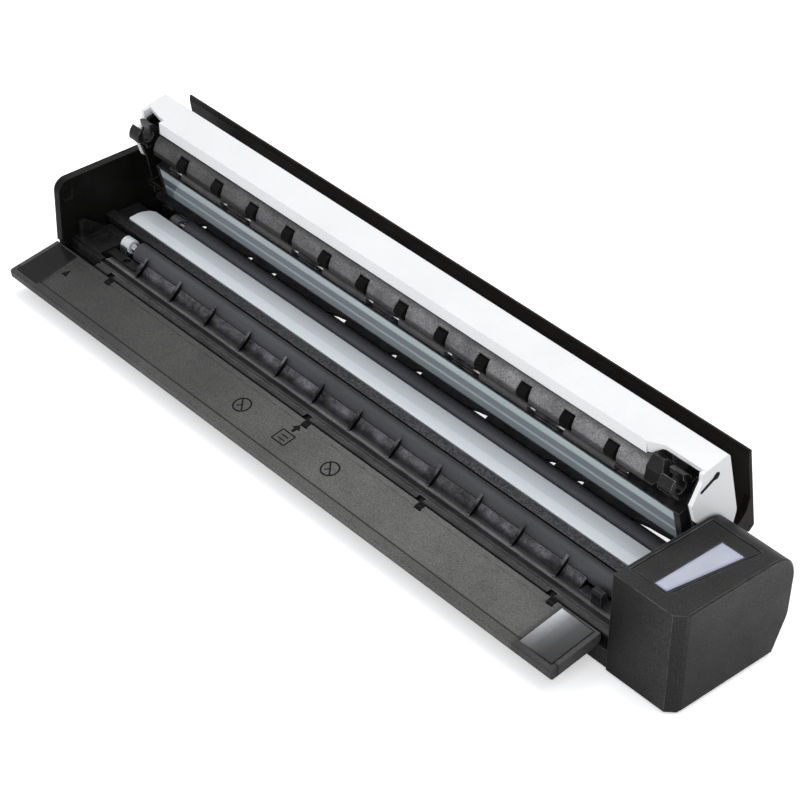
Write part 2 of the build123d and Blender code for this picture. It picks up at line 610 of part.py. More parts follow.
def upper_guide():
    """Paper guide of the cover: a thin skin with a window for each pinch roller, on ribs with shaft slots."""
    skin = prism([(12.0, 24.0), (12.0, 20.3), (13.2, 18.7), (15.2, 17.3), (17.0, 17.0), (17.1, 17.5),
                  (15.4, 17.7), (13.5, 19.0), (12.8, 20.5), (12.8, 24.0)], UPPER_X0, UPPER_X1)
    room = PINCH_SHAFT_R + SHAFT_FIT
    slot = block(UPPER_X0 + 0.6, UPPER_X1 - 0.6, FEED_Y - room, FEED_Y + room, PINCH_Z - room, 25.5)
    ribs = [prism([(12.0, 22.0), (12.0, 31.6), (13.8, 31.6), (14.6, 24.4), (17.1, 24.4), (17.1, 17.3),
                   (15.3, 17.6), (13.4, 19.0), (12.4, 20.6)], x, x + 1.2) - slot
            for x in (UPPER_X0, -100.0, -65.8, -31.6, 2.6, 36.8, 71.0, UPPER_X1 - 1.2)]
    guide = joined([skin] + ribs)
    for index in range(RIB_COUNT):
        x = window_x(index)
        guide = guide - block(x, x + WINDOW_WIDTH, 11.0, 20.0, 15.0, 19.8)
    return guide


PINCH_Z = PAPER_Z + PINCH_GAP + PINCH_R


def pinch_shaft():
    return rod(UPPER_X0 + 0.8, UPPER_X1 - 0.8, FEED_Y, PINCH_Z, PINCH_SHAFT_R)


def pinch_rollers():
    rollers = []
    for index in range(RIB_COUNT):
        x = window_x(index) + (WINDOW_WIDTH - PINCH_WIDTH) / 2
        tyre = sided_rod(x, x + PINCH_WIDTH, FEED_Y, PINCH_Z, PINCH_R, 16)
        rollers.append(tyre - sided_rod(x - 1, x + PINCH_WIDTH + 1, FEED_Y, PINCH_Z, PINCH_SHAFT_R, 6))
    return group(rollers)


def idle_x(index):
    return IDLE_FIRST_X + index * IDLE_PITCH


def idle_shaft():
    return rod(IDLE_FIRST_X - 6.4, IDLE_LAST_X + 4.4, IDLE_Y, IDLE_Z, IDLE_SHAFT_R)


def idle_tubes():
    tubes = []
    for index in range(IDLE_COUNT):
        x = idle_x(index)
        tube = sided_rod(x, x + IDLE_LENGTH, IDLE_Y, IDLE_Z, IDLE_R, 18)
        tubes.append(tube - sided_rod(x - 1, x + IDLE_LENGTH + 1, IDLE_Y, IDLE_Z, IDLE_SHAFT_R, 6))
    return group(tubes)


def bracket(x, width):
    """Carrier of the idle shaft, fixed to the front of the sensor frame."""
    body = prism([(18.0, 21.6), (17.9, 17.2), (18.4, 16.7), (20.2, 16.7), (21.0, 17.4), (21.0, 21.6)],
                 x, x + width)
    peg = prism([(18.1, 20.4), (18.1, 24.2), (21.0, 24.2), (21.0, 20.4)], x + 0.8, x + width - 0.8)
    room = IDLE_SHAFT_R + SHAFT_FIT
    slot = block(x - 1, x + width + 1, IDLE_Y - room, IDLE_Y + room, 16.0, IDLE_Z + room)
    return joined([body, peg]) - slot


def roller_brackets():
    gap = IDLE_PITCH - IDLE_LENGTH
    between = [bracket(idle_x(index) + IDLE_LENGTH + 3.0, gap - 6.0) for index in range(IDLE_COUNT - 1)]
    ends = [bracket(IDLE_FIRST_X - 6.2, 3.4), bracket(IDLE_LAST_X + 0.8, 3.4)]
    return group(between + ends)


SENSOR_X0 = -121.0
SENSOR_X1 = 107.0


def sensor_frame():
    frame = block(SENSOR_X0, SENSOR_X1, 21.0, 32.9, 16.5, 26.9)
    frame = frame - block(SENSOR_X0 + 1.6, SENSOR_X1 - 2.2, 21.5, 32.3, 15.0, 24.9)
    return frame


def sensor_glass():
    return block(SENSOR_X0 + 1.6, SENSOR_X1 - 2.2, 21.5, 32.3, 16.5, 17.6)


def sensor_light_bar():
    return prism([(21.9, 17.6), (21.9, 20.6), (24.2, 21.6), (25.6, 20.0), (25.6, 17.6)],
                 SENSOR_X0 + 2.4, SENSOR_X1 - 3.0)


def lens_array():
    return block(SENSOR_X0 + 2.4, SENSOR_X1 - 3.0, 26.0, 29.6, 17.6, 23.6)


def sensor_board():
    return block(SENSOR_X0 + 1.6, SENSOR_X1 - 2.2, 21.5, 32.3, 23.6, 24.9)


def frame_end(x0):
    """Black plate inside the cover's end, with the lug that turns on the hinge pin."""
    x1 = x0 + COVER_END_PLATE
    end = prism([(10.6, 23.4), (10.8, 31.0), (28.0, 31.0), (33.0, 28.2), (34.0, 24.0), (36.2, 22.2),
                 (38.6, 20.0), (36.6, 17.7), (33.4, 18.1), (24.0, 18.6), (22.5, 18.5), (16.2, 18.0),
                 (12.0, 21.8)], x0, x1)
    lug = sided_rod(x0, x1, COVER_Y, COVER_Z, COVER_LUG_R, 16)
    return joined([end, lug]) - rod(x0 - 1, x1 + 1, COVER_Y, COVER_Z, PIN_R + SHAFT_FIT)


def cover_frame():
    """Black inner frame that carries the sensor and closes the cover's hinge side and ends."""
    x0 = COVER_X0 + COVER_WALL
    x1 = COVER_X1 - COVER_WALL
    frame = prism([(17.4, 24.6), (17.4, 26.2), (20.2, 27.0), (20.2, 28.2), (33.0, 28.2), (34.3, 26.4),
                   (34.4, 24.0), (34.4, 17.4), (32.9, 17.4), (32.9, 26.9), (20.8, 26.9), (18.6, 24.6)],
                  x0, x1)
    return joined([frame, frame_end(x0), frame_end(x1 - COVER_END_PLATE)])


def latch_claw(x0, width):
    """Hooked claw at the end of the cover, its mouth towards the front when closed."""
    ring = rod(x0, x0 + width, 11.6, 18.4, 4.1) - sided_rod(x0 - 1, x0 + width + 1, 11.6, 18.4, 1.9, 16)
    mouth = prism([(5.0, 16.9), (5.0, 19.6), (11.6, 19.6), (11.6, 16.9)], x0 - 1, x0 + width + 1)
    stem = prism([(13.0, 21.0), (13.0, 31.6), (16.8, 31.6), (16.8, 24.0), (15.2, 17.4)], x0, x0 + width)
    clear_of_roller = rod(x0 - 1, x0 + width + 1, FEED_Y, ROLLER_Z, ROLLER_R + 0.6)
    return joined([ring - mouth, stem]) - clear_of_roller


def guide_end_tab():
    """Tapered end piece beside the upper guide, clear of the cover's front lip."""
    tab = prism([(9.8, 21.6), (12.4, 18.6), (17.0, 17.2), (17.0, 18.2), (13.2, 20.4), (12.2, 23.0),
                 (10.4, 23.0)], UPPER_X1, UPPER_X1 + 6.4)
    side = plate([(UPPER_X1, 9.0), (UPPER_X1 + 3.6, 9.0), (UPPER_X1 + 6.4, 13.0), (UPPER_X1 + 2.0, 18.0),
                  (UPPER_X1, 18.0)], 16.0, 24.0)
    return tab & side


def guide_panel_section():
    """Outline of the raised output guide in (y, z)."""
    return [(57.3, 18.9), (52.7, 45.8), (52.5, 47.3), (51.6, 47.4), (51.5, 45.6), (56.0, 19.6), (54.0, 18.2),
            (55.4, 17.3)]


def output_guide():
    panel = soft_prism(guide_panel_section(), [1.0, 0.0, 0.4, 0.0, 0.0, 0.8, 0.0, 0.0], GUIDE_X0, GUIDE_X1)
    shapes = [panel]
    for x in (GUIDE_X0, GUIDE_X1 - 2.2):
        flange = prism([(56.6, 18.4), (54.6, 30.0), (54.2, 30.0), (53.2, 25.5), (50.6, 22.6)], x, x + 2.2)
        arm = prism([(42.0, 18.2), (42.4, 22.0), (50.6, 22.6), (54.0, 21.0), (55.6, 18.0), (53.4, 17.3)],
                    x, x + 2.2)
        eye = sided_rod(x, x + 2.2, GUIDE_Y, GUIDE_Z, GUIDE_EYE_R - 0.1, 12)
        shapes += [flange, arm, eye]
    ribs = [prism([(56.6, 19.4), (55.2, 27.0), (53.9, 27.0), (53.6, 19.6)], x, x + 1.2)
            for x in (-90.0, -50.0, -10.0, 30.0, 70.0)]
    guide = joined(shapes + ribs)
    return guide - sided_rod(GUIDE_X0 - 2, GUIDE_X1 + 2, GUIDE_Y, GUIDE_Z, PIN_CORE_R, 6)


def guide_hinge_pins():
    """Pins that turn in the end walls, each with a six-sided core pressed into the guide."""
    left = rod(X_BED_LEFT - 1.5, GUIDE_X0, GUIDE_Y, GUIDE_Z, GUIDE_PIN_R)
    left_core = sided_rod(GUIDE_X0, GUIDE_X0 + 2.2, GUIDE_Y, GUIDE_Z, PIN_CORE_R, 6)
    right = rod(GUIDE_X1, X_BOX + 1.5, GUIDE_Y, GUIDE_Z, GUIDE_PIN_R)
    right_core = sided_rod(GUIDE_X1 - 2.2, GUIDE_X1, GUIDE_Y, GUIDE_Z, PIN_CORE_R, 6)
    return group([joined([left, left_core]), joined([right, right_core])])


def cover_hinge_pins():
    left = rod(X_BED_LEFT - 1.6, COVER_X0 + COVER_WALL + COVER_END_PLATE, COVER_Y, COVER_Z, PIN_R)
    right = rod(COVER_X1 - COVER_WALL - COVER_END_PLATE, X_BOX + SKIN, COVER_Y, COVER_Z, PIN_R)
    return group([left, right])


def rubber_feet():
    feet = []
    for x in (-126.0, -2.0, 126.0):
        for y in (4.6, 33.4):
            feet.append(sided_post(x, y, 0.0, FOOT_HEIGHT, 2.5, 10))
    return group(feet)


def main():
    os.makedirs("parts", exist_ok=True)
    pieces = {
        "left_end_wall": left_end_wall(),
        "control_box": control_box(),
        "box_floor": box_floor(),
        "bottom_case": bottom_case(),
        "hinge_strip": hinge_strip(),
        "entrance_guide": entrance_guide(),
        "scan_bed": scan_bed(),
        "reference_plate": reference_plate(),
        "exit_guide": exit_guide(),
        "left_side_frame": left_side_frame(),
        "feed_bearing_post": bearing_post(FEED_Y, 12.2, 18.2),
        "eject_bearing_post": bearing_post(EJECT_Y, 31.4, 37.4),
        "right_side_frame": right_side_frame(),
        "roller_bushes": roller_bushes(),
        "cover_hinge_pins": cover_hinge_pins(),
        "flap_hinge_pins": flap_hinge_pins(),
        "gear_plate": gear_plate(),
        "drive_motor": drive_motor(),
        "idler_axle": idler_axle(),
        "circuit_board": circuit_board(),
        "usb_socket": usb_socket(),
        "button_board": button_board(),
        "rubber_feet": rubber_feet(),
        "case_screws": case_screws(),
        "feed_shaft": roller_shaft(FEED_Y),
        "feed_sleeve": roller_sleeve(FEED_Y),
        "feed_gear": feed_gear(),
        "eject_shaft": roller_shaft(EJECT_Y),
        "eject_sleeve": roller_sleeve(EJECT_Y),
        "eject_gear": eject_gear(),
        "idler_gear": idler_gear(),
        "motor_pinion": motor_pinion(),
        "scan_button": scan_button(),
        "button_window": button_window(),
        "feeding_flap": feeding_flap(),
        "flap_pad_left": flap_pad(LEFT_PAD),
        "flap_pad_right": flap_pad(RIGHT_PAD),
        "output_guide": output_guide(),
        "guide_hinge_pins": guide_hinge_pins(),
    }
    closed = {
        "top_cover": top_cover(),
        "upper_guide": upper_guide(),
        "sensor_frame": sensor_frame(),
        "sensor_glass": sensor_glass(),
        "sensor_light_bar": sensor_light_bar(),
        "lens_array": lens_array(),
        "sensor_board": sensor_board(),
        "cover_frame": cover_frame(),
        "latch_claw_left": latch_claw(-128.6, 4.6),
        "latch_claw_right": latch_claw(102.4, 4.8),
        "roller_brackets": roller_brackets(),
        "guide_end_tab": guide_end_tab(),
        "pinch_shaft": pinch_shaft(),
        "pinch_rollers": pinch_rollers(),
        "idle_shaft": idle_shaft(),
        "idle_tubes": idle_tubes(),
    }
    for name, shape in pieces.items():
        save(name, shape)
    for name, shape in closed.items():
        save(name, opened(shape))


main()
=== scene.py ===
import json
import math
import bpy
from mathutils import Matrix, Vector


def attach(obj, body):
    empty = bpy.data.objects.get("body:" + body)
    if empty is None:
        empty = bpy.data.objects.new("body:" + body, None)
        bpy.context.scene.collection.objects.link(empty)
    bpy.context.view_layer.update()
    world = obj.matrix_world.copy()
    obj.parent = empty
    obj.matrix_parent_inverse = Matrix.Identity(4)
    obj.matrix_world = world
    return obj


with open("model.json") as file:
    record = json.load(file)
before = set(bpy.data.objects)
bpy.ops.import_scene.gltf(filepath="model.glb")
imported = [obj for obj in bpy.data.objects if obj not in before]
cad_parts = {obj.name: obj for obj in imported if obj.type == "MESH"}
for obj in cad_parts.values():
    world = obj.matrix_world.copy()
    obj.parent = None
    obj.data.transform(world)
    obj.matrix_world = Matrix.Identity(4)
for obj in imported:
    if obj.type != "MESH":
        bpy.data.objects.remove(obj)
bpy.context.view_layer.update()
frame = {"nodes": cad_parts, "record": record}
nodes = frame["nodes"]

MM = 0.001
FRONT_Y = -19.75

# Camera fitted to the photograph: place in millimetres from the body's front face, angles in degrees,
# focal length in pixels, sensor width in millimetres and near clip in metres
CAMERA_PLACE = (463.06, -390.49, 480.16)
CAMERA_YAW = 48.031
CAMERA_PITCH = 36.859
CAMERA_ROLL = 1.004
CAMERA_FOCAL = 2659.8
CAMERA_CLIP = 0.01
FRAME_PIXELS = 800.0
SENSOR_WIDTH = 36.0

# Studio, in metres and watts: a lamp is its name, place, size and power
FLOOR_HALF = 4.0
FLOOR_TONE = 0.93
FLOOR_GLOW = 0.4
FILL_COLOUR = (0.95, 0.97, 1.0, 1.0)
FILL_STRENGTH = 0.70
WHITE = (1.0, 1.0, 1.0, 1.0)
LAMP_TARGET = (0.0, 0.0, 0.02)
LAMPS = (("key_soft", (-0.40, 0.25, 0.82), (0.5, 0.4), 2.3),
         ("top_soft", (0.45, 0.25, 0.9), (0.9, 0.6), 2.2),
         ("front_soft", (0.5, -0.9, 0.42), (0.8, 0.5), 3.8))

# Flap surface, as in the CAD source: datum edge, droop in degrees and depth of its sunk field
FLAP_EDGE = (0.65, 11.0)
FLAP_DROOP = 9.2
FLAP_FIELD = 0.3

# Marks on the flap: top and foot of their prisms from the sunk field, in millimetres
MARK_TOP = 0.06
MARK_FOOT = -0.02
RING_RADIUS = 3.0
RING_STROKE = 0.5
RING_SIDES = 36
SLASH_REACH = 1.9

# Sockets of the Mix node for colours
MIX_FACTOR, MIX_FIRST, MIX_SECOND, MIX_RESULT = 0, 6, 7, 2

# A noise mostly stays between these two values
NOISE_LOW = 0.3
NOISE_HIGH = 0.7


def new_material(name):
    mat = bpy.data.materials.new(name)
    mat.use_nodes = True
    tree = mat.node_tree
    tree.nodes.clear()
    out = tree.nodes.new("ShaderNodeOutputMaterial")
    shader = tree.nodes.new("ShaderNodeBsdfPrincipled")
    tree.links.new(shader.outputs["BSDF"], out.inputs["Surface"])
    return mat, tree, shader


def object_coords(tree, scale=(1.0, 1.0, 1.0)):
    coords = tree.nodes.new("ShaderNodeTexCoord")
    mapping = tree.nodes.new("ShaderNodeMapping")
    mapping.inputs["Scale"].default_value = scale
    tree.links.new(coords.outputs["Object"], mapping.inputs["Vector"])
    return mapping.outputs["Vector"]


def noise(tree, vector, scale, detail=2.0, roughness=0.5):
    node = tree.nodes.new("ShaderNodeTexNoise")
    node.inputs["Scale"].default_value = scale
    node.inputs["Detail"].default_value = detail
    node.inputs["Roughness"].default_value = roughness
    tree.links.new(vector, node.inputs["Vector"])
    return node.outputs["Fac"]


def voronoi(tree, vector, scale):
    node = tree.nodes.new("ShaderNodeTexVoronoi")
    node.inputs["Scale"].default_value = scale
    tree.links.new(vector, node.inputs["Vector"])
    return node.outputs["Distance"]


def ramp(tree, fac, stops):
    """Colour from a value of 0 to 1; the stops are (place, colour) in rising order."""
    node = tree.nodes.new("ShaderNodeValToRGB")
    elements = node.color_ramp.elements
    while len(elements) < len(stops):
        elements.new(0.5)
    for element, (place, colour) in zip(elements, stops):
        element.position = place
        element.color = (*colour, 1.0)
    tree.links.new(fac, node.inputs["Fac"])
    return node.outputs["Color"]


def value_range(tree, fac, low, high, start=0.0, end=1.0):
    """Value that goes from low to high while fac goes from start to end."""
    node = tree.nodes.new("ShaderNodeMapRange")
    node.inputs["From Min"].default_value = start
    node.inputs["From Max"].default_value = end
    node.inputs["To Min"].default_value = low
    node.inputs["To Max"].default_value = high
    tree.links.new(fac, node.inputs["Value"])
    return node.outputs["Result"]


def grey_of(tree, value):
    """Turns a value into a grey colour."""
    node = tree.nodes.new("ShaderNodeCombineColor")
    for key in ("Red", "Green", "Blue"):
        tree.links.new(value, node.inputs[key])
    return node.outputs["Color"]


def product(tree, first, second):
    node = tree.nodes.new("ShaderNodeMath")
    node.operation = "MULTIPLY"
    tree.links.new(first, node.inputs[0])
    tree.links.new(second, node.inputs[1])
    return node.outputs["Value"]


def mixed(tree, mode, fac, first, second):
    """Mixes two colours; fac, first and second are sockets or plain values."""
    node = tree.nodes.new("ShaderNodeMix")
    node.data_type = "RGBA"
    node.blend_type = mode
    for key, value in ((MIX_FACTOR, fac), (MIX_FIRST, first), (MIX_SECOND, second)):
        if isinstance(value, bpy.types.NodeSocket):
            tree.links.new(value, node.inputs[key])
        else:
            node.inputs[key].default_value = value if key == MIX_FACTOR else (*value, 1.0)
    return node.outputs[MIX_RESULT]


def times(tree, colour, tone):
    return mixed(tree, "MULTIPLY", 1.0, colour, tone)


def along_axis(tree, axis, stops):
    """Colour by place on one object axis; the stops are (millimetres, grey or colour) in rising order."""
    coords = tree.nodes.new("ShaderNodeTexCoord")
    split = tree.nodes.new("ShaderNodeSeparateXYZ")
    tree.links.new(coords.outputs["Object"], split.inputs["Vector"])
    low = stops[0][0]
    high = stops[-1][0]
    height = value_range(tree, split.outputs[axis], 0.0, 1.0, low * MM, high * MM)
    colours = [(value, value, value) if isinstance(value, float) else value for _, value in stops]
    places = [(place - low) / (high - low) for place, _ in stops]
    return ramp(tree, height, list(zip(places, colours)))


def by_facing(tree, axis, stops):
    """Painted light and shade: grey by the way a face points along one object axis; the stops are (-1 to 1,
    grey) in rising order.
    """
    coords = tree.nodes.new("ShaderNodeTexCoord")
    split = tree.nodes.new("ShaderNodeSeparateXYZ")
    tree.links.new(coords.outputs["Normal"], split.inputs["Vector"])
    place = value_range(tree, split.outputs[axis], 0.0, 1.0, -1.0, 1.0)
    return ramp(tree, place, [((value + 1.0) / 2.0, (grey, grey, grey)) for value, grey in stops])


def in_box(tree, spans):
    """Mask that is white inside a box of object coordinates; the spans are (axis, low, high) in millimetres."""
    outside = 1.0
    fade = 0.01
    mask = None
    for axis, low, high in spans:
        side = along_axis(tree, axis, [(low - outside, 0.0), (low, 0.0), (low + fade, 1.0),
                                       (high - fade, 1.0), (high, 0.0), (high + outside, 0.0)])
        mask = side if mask is None else times(tree, mask, side)
    return mask


def soft_edges(tree, radius):
    """Normal rounded over edges by a radius in millimetres, and a mask that is high on the edges."""
    edge_bend = 0.80
    flat_bend = 0.985
    bevel = tree.nodes.new("ShaderNodeBevel")
    bevel.samples = 6
    bevel.inputs["Radius"].default_value = radius * MM
    geometry = tree.nodes.new("ShaderNodeNewGeometry")
    dot = tree.nodes.new("ShaderNodeVectorMath")
    dot.operation = "DOT_PRODUCT"
    tree.links.new(bevel.outputs["Normal"], dot.inputs[0])
    tree.links.new(geometry.outputs["Normal"], dot.inputs[1])
    return bevel.outputs["Normal"], value_range(tree, dot.outputs["Value"], 1.0, 0.0, edge_bend, flat_bend)


def bump(tree, shader, height, strength, depth, normal=None):
    """Bump of a depth in millimetres, over a normal that is already rounded or the plain one."""
    node = tree.nodes.new("ShaderNodeBump")
    node.inputs["Strength"].default_value = strength
    node.inputs["Distance"].default_value = depth * MM
    tree.links.new(height, node.inputs["Height"])
    if normal is not None:
        tree.links.new(normal, node.inputs["Normal"])
    tree.links.new(node.outputs["Normal"], shader.inputs["Normal"])


def plastic(name, dark, light, rough, cloud=90.0, grain=2600.0, grain_bump=0.25, depth=0.04, specular=0.3,
            speckle=0.15, edge_highlight=1.6, radius=0.25, stretch=(1.0, 1.0, 1.0), light_and_tone_bands=(), facing=(), local=()):
    """Moulded plastic: mottled colour, fine speckle and grain, and rounded edges with a painted highlight along
    them.

    cloud and grain are noise scales per metre; depth and radius are millimetres. The edge-highlight argument is
    how much lighter the painted highlight on the edges is than the light colour. The bands along an axis and
    facing are lists of (axis, stops) that multiply the colour, and they mostly paint light and shade into it;
    local is a list of (mask, band) pairs, whose mask is a function with its values, such as (by_facing, axis,
    stops).
    """
    mat, tree, shader = new_material(name)
    clouds = noise(tree, object_coords(tree, stretch), cloud, 4.0, 0.6)
    fine = noise(tree, object_coords(tree), grain, 2.0, 0.6)
    colour = ramp(tree, clouds, [(0.32, dark), (0.68, light)])
    flecks = value_range(tree, fine, 1.0 - speckle, 1.0 + speckle, NOISE_LOW, NOISE_HIGH)
    colour = times(tree, colour, grey_of(tree, flecks))
    normal, edge = soft_edges(tree, radius)
    # Painted highlight along the edges: the edge mask mixes in a lighter colour, in patches.
    edge_highlight_colour = tuple(min(1.0, part * edge_highlight) for part in light)
    patches = value_range(tree, noise(tree, object_coords(tree), 400.0, 3.0), 0.2, 1.0, 0.35, 0.6)
    colour = mixed(tree, "MIX", product(tree, edge, patches), colour, edge_highlight_colour)
    # Painted light and shade, with some plain tone: bands along an axis, bands by the way faces point, and bands
    # inside masks multiply the colour.
    for band in light_and_tone_bands:
        colour = times(tree, colour, along_axis(tree, *band))
    for band in facing:
        colour = times(tree, colour, by_facing(tree, *band))
    for (kind, *values), band in local:
        toned = times(tree, colour, along_axis(tree, *band))
        colour = mixed(tree, "MIX", kind(tree, *values), colour, toned)
    tree.links.new(colour, shader.inputs["Base Color"])
    tree.links.new(value_range(tree, clouds, rough[1], rough[0], NOISE_LOW, NOISE_HIGH),
                   shader.inputs["Roughness"])
    shader.inputs["Specular IOR Level"].default_value = specular
    bump(tree, shader, fine, grain_bump, depth, normal)
    return mat


def metal(name, colour, rough):
    """Drawn or turned steel, with fine lines along X."""
    mat, tree, shader = new_material(name)
    shader.inputs["Metallic"].default_value = 1.0
    lines = noise(tree, object_coords(tree, (1.0, 30.0, 30.0)), 120.0, 3.0)
    darker = tuple(part * 0.8 for part in colour)
    tree.links.new(ramp(tree, lines, [(NOISE_LOW, darker), (NOISE_HIGH, colour)]), shader.inputs["Base Color"])
    tree.links.new(value_range(tree, lines, rough[0], rough[1]), shader.inputs["Roughness"])
    normal, _ = soft_edges(tree, 0.1)
    bump(tree, shader, lines, 0.2, 0.02, normal)
    return mat


def scan_glass():
    """Scan glass over the sensor: light, dark and light bands along it, under a clear coat."""
    mat, tree, shader = new_material("scan_glass_banded")
    light = (0.42, 0.505, 0.515)
    second = (0.28, 0.345, 0.355)
    dark = (0.100, 0.122, 0.135)
    bands = along_axis(tree, "Z", [(22.8, dark), (26.5, dark), (26.9, second), (27.6, second), (28.1, dark),
                                   (30.7, dark), (31.3, light), (34.0, light), (34.4, dark), (35.0, dark)])
    streak = noise(tree, object_coords(tree, (0.15, 1.0, 1.0)), 260.0, 3.0)
    tone = grey_of(tree, value_range(tree, streak, 0.9, 1.08, NOISE_LOW, NOISE_HIGH))
    tree.links.new(times(tree, bands, tone), shader.inputs["Base Color"])
    tree.links.new(value_range(tree, streak, 0.06, 0.14), shader.inputs["Roughness"])
    shader.inputs["Coat Weight"].default_value = 0.5
    shader.inputs["Coat Roughness"].default_value = 0.04
    bump(tree, shader, streak, 0.04, 0.02)
    return mat


def pale_window():
    """Translucent button window, bluer and deeper towards its bevelled edges."""
    mat, tree, shader = new_material("button_window_pale")
    vector = object_coords(tree)
    clouds = noise(tree, vector, 120.0, 3.0)
    middle = ramp(tree, clouds, [(NOISE_LOW, (0.37, 0.385, 0.465)), (NOISE_HIGH, (0.43, 0.445, 0.52))])
    normal, edge = soft_edges(tree, 1.5)
    tree.links.new(mixed(tree, "MIX", edge, middle, (0.22, 0.27, 0.58)), shader.inputs["Base Color"])
    tree.links.new(value_range(tree, clouds, 0.18, 0.3), shader.inputs["Roughness"])
    shader.inputs["Coat Weight"].default_value = 0.4
    bump(tree, shader, noise(tree, vector, 900.0), 0.06, 0.02, normal)
    return mat


def circuit_board():
    """Green solder mask with paler spots where the tracks end."""
    mat, tree, shader = new_material("circuit_board_green")
    cell = voronoi(tree, object_coords(tree), 700.0)
    tree.links.new(ramp(tree, cell, [(0.06, (0.20, 0.22, 0.12)), (0.12, (0.03, 0.16, 0.07)),
                                     (0.6, (0.05, 0.24, 0.11))]), shader.inputs["Base Color"])
    tree.links.new(value_range(tree, cell, 0.3, 0.5), shader.inputs["Roughness"])
    bump(tree, shader, cell, 0.2, 0.05)
    return mat


# What several plastics share: colours, or the numbers of their grain and of their painted edge highlight
SATIN_CASE = dict(dark=(0.0150, 0.0144, 0.0138), light=(0.0200, 0.0194, 0.0186), rough=(0.36, 0.48),
                  cloud=60.0, grain=2800.0, grain_bump=0.5, depth=0.06, specular=0.14, speckle=0.6,
                  edge_highlight=9.0, radius=0.4)
NEAR_BLACK = dict(dark=(0.0040, 0.0036, 0.0033), light=(0.0075, 0.0070, 0.0064))
ROLLER_GRAIN = dict(rough=(0.4, 0.6), cloud=90.0, grain=3000.0, grain_bump=0.5, depth=0.06, specular=0.25,
                    speckle=0.2, edge_highlight=1.2, radius=0.1, stretch=(0.2, 1.0, 1.0))
PAD_GRAIN = dict(cloud=60.0, grain=700.0, grain_bump=0.05, depth=0.02, speckle=0.05, radius=0.3)


def guide_plastic():
    return plastic("guide_mottled_black", dark=(0.0050, 0.0048, 0.0052), light=(0.0360, 0.0345, 0.0370),
                   rough=(0.28, 0.55), cloud=260.0, grain=2000.0, grain_bump=0.3, depth=0.05,
                   specular=0.1, speckle=0.25, edge_highlight=5.0, radius=0.3)


def upper_guide_plastic():
    """Grey skin over the pinch rollers, its grey partly a painted sheen: painted shade along its foot, a painted
    sheen band above that, and painted light that makes it lighter to the right.
    """
    # Painted shade along the foot, then a band of painted sheen
    up = [(37.0, 0.30), (39.2, 0.30), (40.3, 0.50), (41.0, 1.1), (43.5, 1.15), (44.3, 0.8), (45.3, 0.7)]
    # Painted light: darker at the left, lighter to the right
    along = [(-115.0, 0.40), (-70.0, 0.65), (30.0, 1.2), (100.0, 1.25)]
    return plastic("upper_guide_fine_painted_sheen", dark=(0.075, 0.074, 0.076), light=(0.165, 0.162, 0.164),
                   rough=(0.35, 0.55), cloud=110.0, grain=2000.0, grain_bump=0.4, depth=0.05,
                   specular=0.3, speckle=0.5, edge_highlight=1.3, radius=0.2, light_and_tone_bands=[("Z", up), ("X", along)])


def flap_plastic():
    """Grained flap with painted shade in the grooves round its field, painted sheen that makes it lighter to the
    right, a painted highlight on its front edge, and a flatter painted sheen along its front rim.
    """
    # Painted highlight on the front edge, and painted shade in the groove in front of the field
    across = [(-37.4, 1.2), (-37.0, 1.0), (-35.0, 1.0), (-34.9, 0.1), (-34.35, 0.1), (-34.2, 1.0), (-19.3, 1.0)]
    # Painted shade in the grooves at the field's ends, and painted sheen that makes the flap lighter to the
    # right
    along = [(-124.1, 1.0), (-123.95, 0.3), (-123.7, 0.3), (-123.5, 0.80), (-70.0, 1.10), (0.0, 1.95),
             (50.0, 2.25), (93.5, 2.0), (93.8, 0.35), (94.1, 0.35), (94.4, 1.0)]
    front_rim = (along_axis, "Y", [(-35.0, 1.0), (-34.9, 0.0)])
    # Painted sheen along the front rim, flatter than the field's
    rim_sheen = [(-124.0, 0.8), (-60.0, 1.15), (0.0, 0.9), (60.0, 0.7)]
    return plastic("flap_fine_grain", dark=(0.038, 0.0372, 0.0358), light=(0.050, 0.0488, 0.0470),
                   rough=(0.42, 0.52), cloud=60.0, grain=2400.0, grain_bump=0.8, depth=0.08,
                   specular=0.2, speckle=0.45, edge_highlight=2.2, radius=0.4,
                   light_and_tone_bands=[("Y", across), ("X", along)], local=[(front_rim, ("X", rim_sheen))])


def cover_plastic():
    """Smooth white shell with painted light on faces that point to the front; two boxes paint shade into the
    keyhole in its right end.
    """
    wall = ("X", 110.0, 111.2)
    boxes = ([wall, ("Y", 12.6, 13.5), ("Z", 42.3, 44.0)], [wall, ("Y", 13.5, 20.1), ("Z", 42.3, 47.3)])
    # Painted shade in the keyhole
    keyhole_shade = [(109.0, 0.06), (112.0, 0.06)]
    # Painted light on faces that point to the front
    lip_light = [(-0.8, 1.22), (-0.4, 1.0)]
    return plastic("cover_smooth_white", dark=(0.73, 0.732, 0.736), light=(0.78, 0.782, 0.786),
                   rough=(0.34, 0.42), cloud=30.0, grain=1800.0, grain_bump=0.1, depth=0.03,
                   specular=0.35, speckle=0.02, edge_highlight=1.03, radius=0.3,
                   facing=[("Y", lip_light)], local=[((in_box, spans), ("X", keyhole_shade)) for spans in boxes])


def strip_plastic():
    return plastic("strip_white", dark=(0.80, 0.850, 0.880), light=(0.88, 0.920, 0.940), rough=(0.26, 0.36),
                   cloud=200.0, grain=1500.0, grain_bump=0.08, depth=0.03, specular=0.4, speckle=0.03,
                   edge_highlight=1.06, radius=0.2, stretch=(0.03, 1.0, 1.0))


def foot_rubber():
    return plastic("foot_rubber", dark=(0.01, 0.01, 0.01), light=(0.02, 0.02, 0.02), rough=(0.7, 0.85),
                   grain=2500.0, grain_bump=0.4, depth=0.06, speckle=0.2, edge_highlight=1.2)


